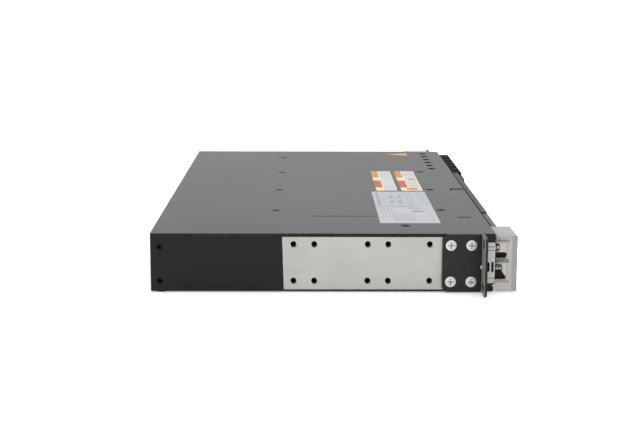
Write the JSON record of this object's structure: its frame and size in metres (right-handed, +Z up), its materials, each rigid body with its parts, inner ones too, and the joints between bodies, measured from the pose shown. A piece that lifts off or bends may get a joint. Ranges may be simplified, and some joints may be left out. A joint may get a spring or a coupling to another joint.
{
  "type": "server rack battery",
  "caption": "Flat 19-inch rack battery, one rack unit high, with bolt-on ears, a clear flip-up terminal cover, a control module face and a row of toggle breakers.",
  "frame": {"origin": "centre of the bounding box in plan, at the bottom of the base pads", "axes": "+X to the right across the rack, -Y is the front, +Z up"},
  "size_m": [0.4826, 0.2706, 0.0444],
  "materials": {
    "black_coat": "fine satin powder coat, with a rectangle of bare zinc on the outside of each side wall",
    "module_coat": "fine satin powder coat",
    "zinc_plate": "bright zinc plate",
    "rubber_pad": "matt",
    "black_plastic": "fine spark texture",
    "toggle_plastic": "smooth",
    "white_plastic": "smooth",
    "light_pipe": "frosted",
    "clear_cover": "clear polycarbonate",
    "tinned_copper": "tin-plated copper",
    "cell_foil": "matt foil pouch",
    "circuit_board": "solder mask",
    "fuse_ceramic": "glazed"
  },
  "bodies": {
    "root": {"base_tray": "black_coat", "top_cover": "black_coat", "left_ear": "black_coat", "right_ear": "black_coat", "ear_screw_left_1": "zinc_plate", "ear_screw_left_2": "zinc_plate", "ear_screw_left_3": "zinc_plate", "ear_screw_left_4": "zinc_plate", "ear_screw_right_1": "zinc_plate", "ear_screw_right_2": "zinc_plate", "ear_screw_right_3": "zinc_plate", "ear_screw_right_4": "zinc_plate", "base_pad_1": "rubber_pad", "base_pad_2": "rubber_pad", "base_pad_3": "rubber_pad", "base_pad_4": "rubber_pad", "partition_1": "zinc_plate", "partition_2": "zinc_plate", "partition_3": "zinc_plate", "partition_4": "zinc_plate", "front_panel": "black_coat", "ground_panel": "black_coat", "control_module_face": "module_coat", "status_light_bar": "light_pipe", "network_ports": "black_plastic", "alarm_connector": "black_plastic", "ground_screw": "zinc_plate", "breaker_1": "black_plastic", "breaker_2": "black_plastic", "breaker_3": "black_plastic", "breaker_4": "black_plastic", "breaker_5": "black_plastic", "breaker_6": "black_plastic", "terminal_block": "black_plastic", "positive_bar": "tinned_copper", "negative_bar": "tinned_copper", "terminal_screw_positive_1": "zinc_plate", "terminal_screw_positive_2": "zinc_plate", "terminal_screw_negative_1": "zinc_plate", "terminal_screw_negative_2": "zinc_plate", "terminal_bracket": "zinc_plate", "terminal_bracket_screw": "zinc_plate", "terminal_cover_pin": "zinc_plate", "cell_pack_1": "cell_foil", "cell_pack_2": "cell_foil", "cell_pack_3": "cell_foil", "tab_board": "circuit_board", "management_board": "circuit_board", "main_contactor": "black_plastic", "main_fuse": "fuse_ceramic"},
    "clear_cover_body": {"terminal_cover": "clear_cover"},
    "power_button_body": {"power_button": "white_plastic"},
    "reset_button_body": {"reset_button": "white_plastic"},
    "address_dial_body": {"address_dial": "white_plastic"},
    "toggle_1_body": {"breaker_toggle_1": "toggle_plastic"},
    "toggle_2_body": {"breaker_toggle_2": "toggle_plastic"},
    "toggle_3_body": {"breaker_toggle_3": "toggle_plastic"},
    "toggle_4_body": {"breaker_toggle_4": "toggle_plastic"},
    "toggle_5_body": {"breaker_toggle_5": "toggle_plastic"},
    "toggle_6_body": {"breaker_toggle_6": "toggle_plastic"}
  },
  "joints": [
    {"name": "terminal_cover_hinge", "type": "hinge", "parent": "root", "child": "clear_cover_body", "pos_m": [-0.2015, -0.12125, 0.04055], "axis": [-1, 0, 0], "range_deg": [0, 85]},
    {"name": "power_button_press", "type": "slide", "parent": "root", "child": "power_button_body", "axis": [0, 1, 0], "range_m": [0, 0.0012], "stiffness_N_per_m": 600},
    {"name": "reset_button_press", "type": "slide", "parent": "root", "child": "reset_button_body", "axis": [0, 1, 0], "range_m": [0, 0.0006], "stiffness_N_per_m": 400},
    {"name": "address_dial_turn", "type": "hinge", "parent": "root", "child": "address_dial_body", "pos_m": [-0.066, -0.12275, 0.01485], "axis": [0, 1, 0], "range_deg": [0, 337.5]},
    {"name": "breaker_1_switch", "type": "hinge", "parent": "root", "child": "toggle_1_body", "pos_m": [0.0983, -0.12225, 0.02325], "axis": [1, 0, 0], "range_deg": [0, 36]},
    {"name": "breaker_2_switch", "type": "hinge", "parent": "root", "child": "toggle_2_body", "pos_m": [0.11906, -0.12225, 0.02325], "axis": [1, 0, 0], "range_deg": [0, 36]},
    {"name": "breaker_3_switch", "type": "hinge", "parent": "root", "child": "toggle_3_body", "pos_m": [0.13982, -0.12225, 0.02325], "axis": [1, 0, 0], "range_deg": [0, 36]},
    {"name": "breaker_4_switch", "type": "hinge", "parent": "root", "child": "toggle_4_body", "pos_m": [0.16058, -0.12225, 0.02325], "axis": [1, 0, 0], "range_deg": [0, 36]},
    {"name": "breaker_5_switch", "type": "hinge", "parent": "root", "child": "toggle_5_body", "pos_m": [0.18134, -0.12225, 0.02325], "axis": [1, 0, 0], "range_deg": [0, 36]},
    {"name": "breaker_6_switch", "type": "hinge", "parent": "root", "child": "toggle_6_body", "pos_m": [0.2021, -0.12225, 0.02325], "axis": [1, 0, 0], "range_deg": [0, 36]}
  ]
}
